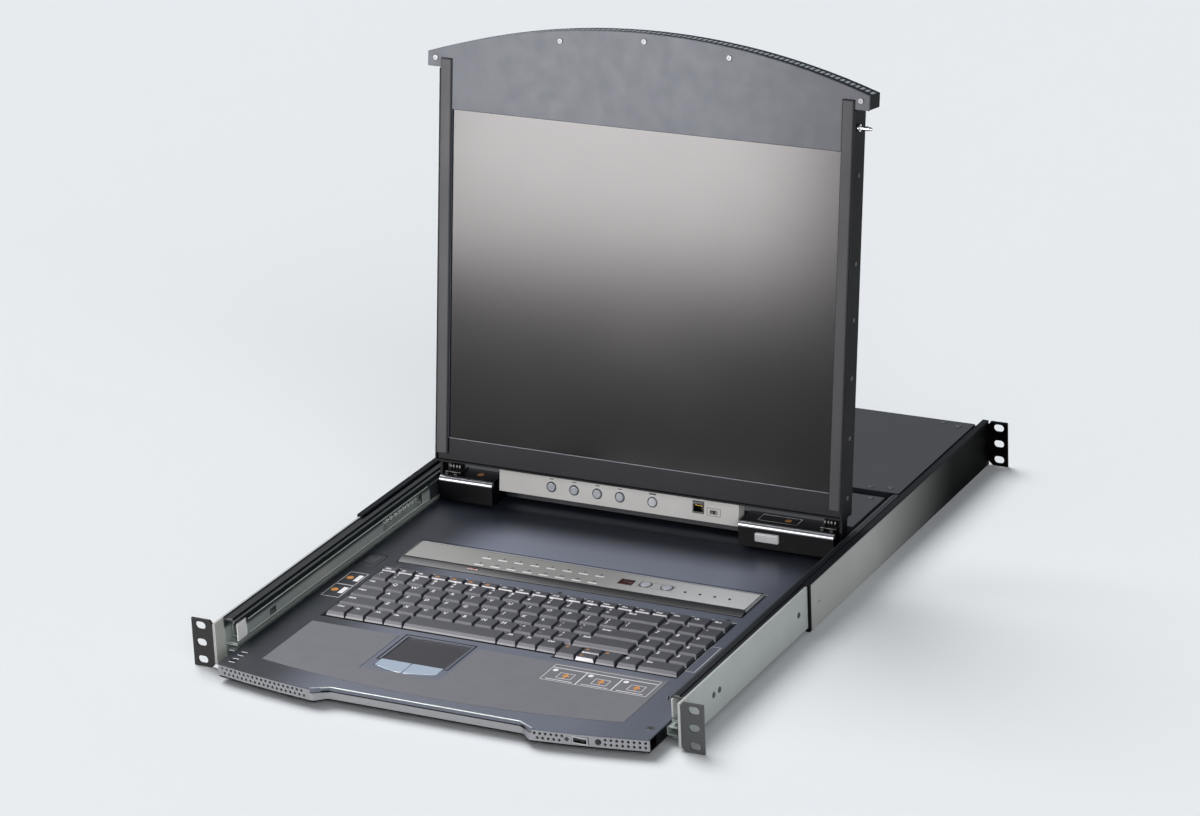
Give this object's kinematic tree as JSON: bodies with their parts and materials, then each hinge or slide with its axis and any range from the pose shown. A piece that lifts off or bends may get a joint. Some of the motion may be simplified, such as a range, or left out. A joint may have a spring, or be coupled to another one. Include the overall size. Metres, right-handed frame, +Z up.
{
  "type": "rackmount lcd console drawer",
  "caption": "One-unit rack drawer with a fold-up screen on its own slides behind a keyboard, touchpad and status panel on a second pair of slides.",
  "frame": {"origin": "centre of the front ears' hole pattern, on the ears' front face, at mid height", "axes": "+X to the user's right, +Y to the rear of the rack, +Z up"},
  "size_m": [0.4826, 0.7036, 0.4651],
  "materials": {
    "black_paint": "satin",
    "rail_paint": "satin",
    "navy_paint": "satin",
    "silver_paint": "satin",
    "zinc": "satin",
    "chrome": "polished",
    "film": "matte",
    "key_plastic": "matte",
    "black_plastic": "gloss",
    "silver_plastic": "satin",
    "button_blue": "satin",
    "lamp": "gloss",
    "screen": "gloss",
    "lid_paint": "satin",
    "bezel_paint": "satin",
    "board": "satin"
  },
  "bodies": {
    "chassis": {"side_rail_left": "rail_paint", "side_rail_right": "rail_paint", "slide_outer_members": "zinc", "rear_pan": "black_paint", "rear_cover": "navy_paint", "power_inlet": "black_plastic", "port_connectors": "zinc", "housing_electronics": "board", "chassis_screws": "chrome"},
    "power_rocker": {"power_rocker": "black_plastic"},
    "rear_bracket_left": {"rear_bracket_left": "black_paint"},
    "rear_bracket_right": {"rear_bracket_right": "black_paint"},
    "keyboard_slide_middles": {"keyboard_slide_middles": "zinc"},
    "keyboard_drawer": {"keyboard_slide_inners": "zinc", "drawer_deck": "navy_paint", "drawer_base": "silver_paint", "drawer_front": "silver_paint", "usb_port": "chrome", "keyboard_frame": "bezel_paint", "status_panel": "silver_plastic", "drawer_lamps": "lamp", "touchpad": "film", "palm_film": "film", "drawer_fasteners": "chrome"},
    "port_button_1": {"port_button_1": "silver_plastic"},
    "port_button_2": {"port_button_2": "silver_plastic"},
    "reset_button": {"reset_button": "silver_plastic"},
    "touchpad_button_left": {"touchpad_button_left": "button_blue"},
    "touchpad_button_right": {"touchpad_button_right": "button_blue"},
    "drawer_catch": {"drawer_catch": "black_plastic"},
    "keys_function_row": {"keys_function_row": "key_plastic"},
    "keys_number_row": {"keys_number_row": "key_plastic"},
    "keys_upper_row": {"keys_upper_row": "key_plastic"},
    "keys_home_row": {"keys_home_row": "key_plastic"},
    "keys_lower_row": {"keys_lower_row": "key_plastic"},
    "keys_bottom_row": {"keys_bottom_row": "key_plastic"},
    "keys_keypad": {"keys_keypad": "key_plastic"},
    "lcd_slide_middles": {"lcd_slide_middles": "zinc", "lcd_slide_cages": "zinc"},
    "lcd_carriage": {"lcd_slide_inners": "zinc", "carriage_frame": "black_paint", "hinge_blocks": "bezel_paint", "block_trims": "chrome", "hinge_pins": "chrome"},
    "release_button": {"release_button": "silver_plastic"},
    "lcd_lid": {"lid_shell": "bezel_paint", "lid_bezel": "bezel_paint", "lcd_panel": "screen", "side_bars": "bezel_paint", "upper_handle": "lid_paint", "control_strip": "silver_plastic", "modular_socket": "black_plastic", "hinge_leaves": "zinc", "lid_fasteners": "chrome"},
    "osd_button_1": {"osd_button_1": "silver_plastic"},
    "osd_button_2": {"osd_button_2": "silver_plastic"},
    "osd_button_3": {"osd_button_3": "silver_plastic"},
    "osd_button_4": {"osd_button_4": "silver_plastic"},
    "power_button": {"power_button": "silver_plastic"},
    "recovery_switch": {"recovery_switch": "black_plastic"}
  },
  "joints": [
    {"name": "left_bracket_adjust", "type": "slide", "parent": "chassis", "child": "rear_bracket_left", "axis": [0, 1, 0], "range_m": [0, 0.11]},
    {"name": "right_bracket_adjust", "type": "slide", "parent": "chassis", "child": "rear_bracket_right", "axis": [0, 1, 0], "range_m": [0, 0.11]},
    {"name": "keyboard_drawer_slide", "type": "slide", "parent": "chassis", "child": "keyboard_drawer", "axis": [0, -1, 0], "range_m": [0, 0.4]},
    {"name": "keyboard_middle_slide", "type": "slide", "parent": "chassis", "child": "keyboard_slide_middles", "axis": [0, -1, 0], "range_m": [0, 0.2]},
    {"name": "lcd_carriage_slide", "type": "slide", "parent": "chassis", "child": "lcd_carriage", "axis": [0, -1, 0], "range_m": [0, 0.4]},
    {"name": "lcd_middle_slide", "type": "slide", "parent": "chassis", "child": "lcd_slide_middles", "axis": [0, -1, 0], "range_m": [0, 0.2]},
    {"name": "lid_hinge", "type": "hinge", "parent": "lcd_carriage", "child": "lcd_lid", "pos_m": [0, 0.3735, 0.009], "axis": [1, 0, 0], "range_deg": [-17, 97.92]},
    {"name": "rocker_pivot", "type": "hinge", "parent": "chassis", "child": "power_rocker", "pos_m": [-0.128, 0.654, 0], "axis": [1, 0, 0], "range_deg": [-16, 0]},
    {"name": "carriage_release_press", "type": "slide", "parent": "lcd_carriage", "child": "release_button", "axis": [0, 1, 0], "range_m": [0, 0.0015], "stiffness_N_per_m": 1500},
    {"name": "drawer_catch_press", "type": "slide", "parent": "keyboard_drawer", "child": "drawer_catch", "axis": [0, 0, -1], "range_m": [0, 0.0015], "stiffness_N_per_m": 1500},
    {"name": "reset_button_press", "type": "slide", "parent": "keyboard_drawer", "child": "reset_button", "axis": [0, 1, 0], "range_m": [0, 0.0005], "stiffness_N_per_m": 1500},
    {"name": "port_button_1_press", "type": "slide", "parent": "keyboard_drawer", "child": "port_button_1", "axis": [0, 0, -1], "range_m": [0, 0.0007], "stiffness_N_per_m": 1500},
    {"name": "port_button_2_press", "type": "slide", "parent": "keyboard_drawer", "child": "port_button_2", "axis": [0, 0, -1], "range_m": [0, 0.0007], "stiffness_N_per_m": 1500},
    {"name": "touchpad_left_press", "type": "slide", "parent": "keyboard_drawer", "child": "touchpad_button_left", "axis": [0, 0, -1], "range_m": [0, 0.0008], "stiffness_N_per_m": 1500},
    {"name": "touchpad_right_press", "type": "slide", "parent": "keyboard_drawer", "child": "touchpad_button_right", "axis": [0, 0, -1], "range_m": [0, 0.0008], "stiffness_N_per_m": 1500},
    {"name": "display_power_press", "type": "slide", "parent": "lcd_lid", "child": "power_button", "axis": [0, 0.9905, -0.1378], "range_m": [0, 0.0009], "stiffness_N_per_m": 1500},
    {"name": "recovery_switch_slide", "type": "slide", "parent": "lcd_lid", "child": "recovery_switch", "axis": [1, 0, 0], "range_m": [0, 0.0028]},
    {"name": "osd_button_1_press", "type": "slide", "parent": "lcd_lid", "child": "osd_button_1", "axis": [0, 0.9905, -0.1378], "range_m": [0, 0.0009], "stiffness_N_per_m": 1500},
    {"name": "osd_button_2_press", "type": "slide", "parent": "lcd_lid", "child": "osd_button_2", "axis": [0, 0.9905, -0.1378], "range_m": [0, 0.0009], "stiffness_N_per_m": 1500},
    {"name": "osd_button_3_press", "type": "slide", "parent": "lcd_lid", "child": "osd_button_3", "axis": [0, 0.9905, -0.1378], "range_m": [0, 0.0009], "stiffness_N_per_m": 1500},
    {"name": "osd_button_4_press", "type": "slide", "parent": "lcd_lid", "child": "osd_button_4", "axis": [0, 0.9905, -0.1378], "range_m": [0, 0.0009], "stiffness_N_per_m": 1500},
    {"name": "function_row_press", "type": "slide", "parent": "keyboard_drawer", "child": "keys_function_row", "axis": [0, 0, -1], "range_m": [0, 0.0025], "stiffness_N_per_m": 800},
    {"name": "number_row_press", "type": "slide", "parent": "keyboard_drawer", "child": "keys_number_row", "axis": [0, 0, -1], "range_m": [0, 0.0025], "stiffness_N_per_m": 800},
    {"name": "upper_row_press", "type": "slide", "parent": "keyboard_drawer", "child": "keys_upper_row", "axis": [0, 0, -1], "range_m": [0, 0.0025], "stiffness_N_per_m": 800},
    {"name": "home_row_press", "type": "slide", "parent": "keyboard_drawer", "child": "keys_home_row", "axis": [0, 0, -1], "range_m": [0, 0.0025], "stiffness_N_per_m": 800},
    {"name": "lower_row_press", "type": "slide", "parent": "keyboard_drawer", "child": "keys_lower_row", "axis": [0, 0, -1], "range_m": [0, 0.0025], "stiffness_N_per_m": 800},
    {"name": "bottom_row_press", "type": "slide", "parent": "keyboard_drawer", "child": "keys_bottom_row", "axis": [0, 0, -1], "range_m": [0, 0.0025], "stiffness_N_per_m": 800},
    {"name": "keypad_press", "type": "slide", "parent": "keyboard_drawer", "child": "keys_keypad", "axis": [0, 0, -1], "range_m": [0, 0.0025], "stiffness_N_per_m": 800}
  ],
  "couplings": [
    {"joint": "keyboard_middle_slide", "follows": "keyboard_drawer_slide", "ratio": 0.5},
    {"joint": "lcd_middle_slide", "follows": "lcd_carriage_slide", "ratio": 0.5}
  ]
}
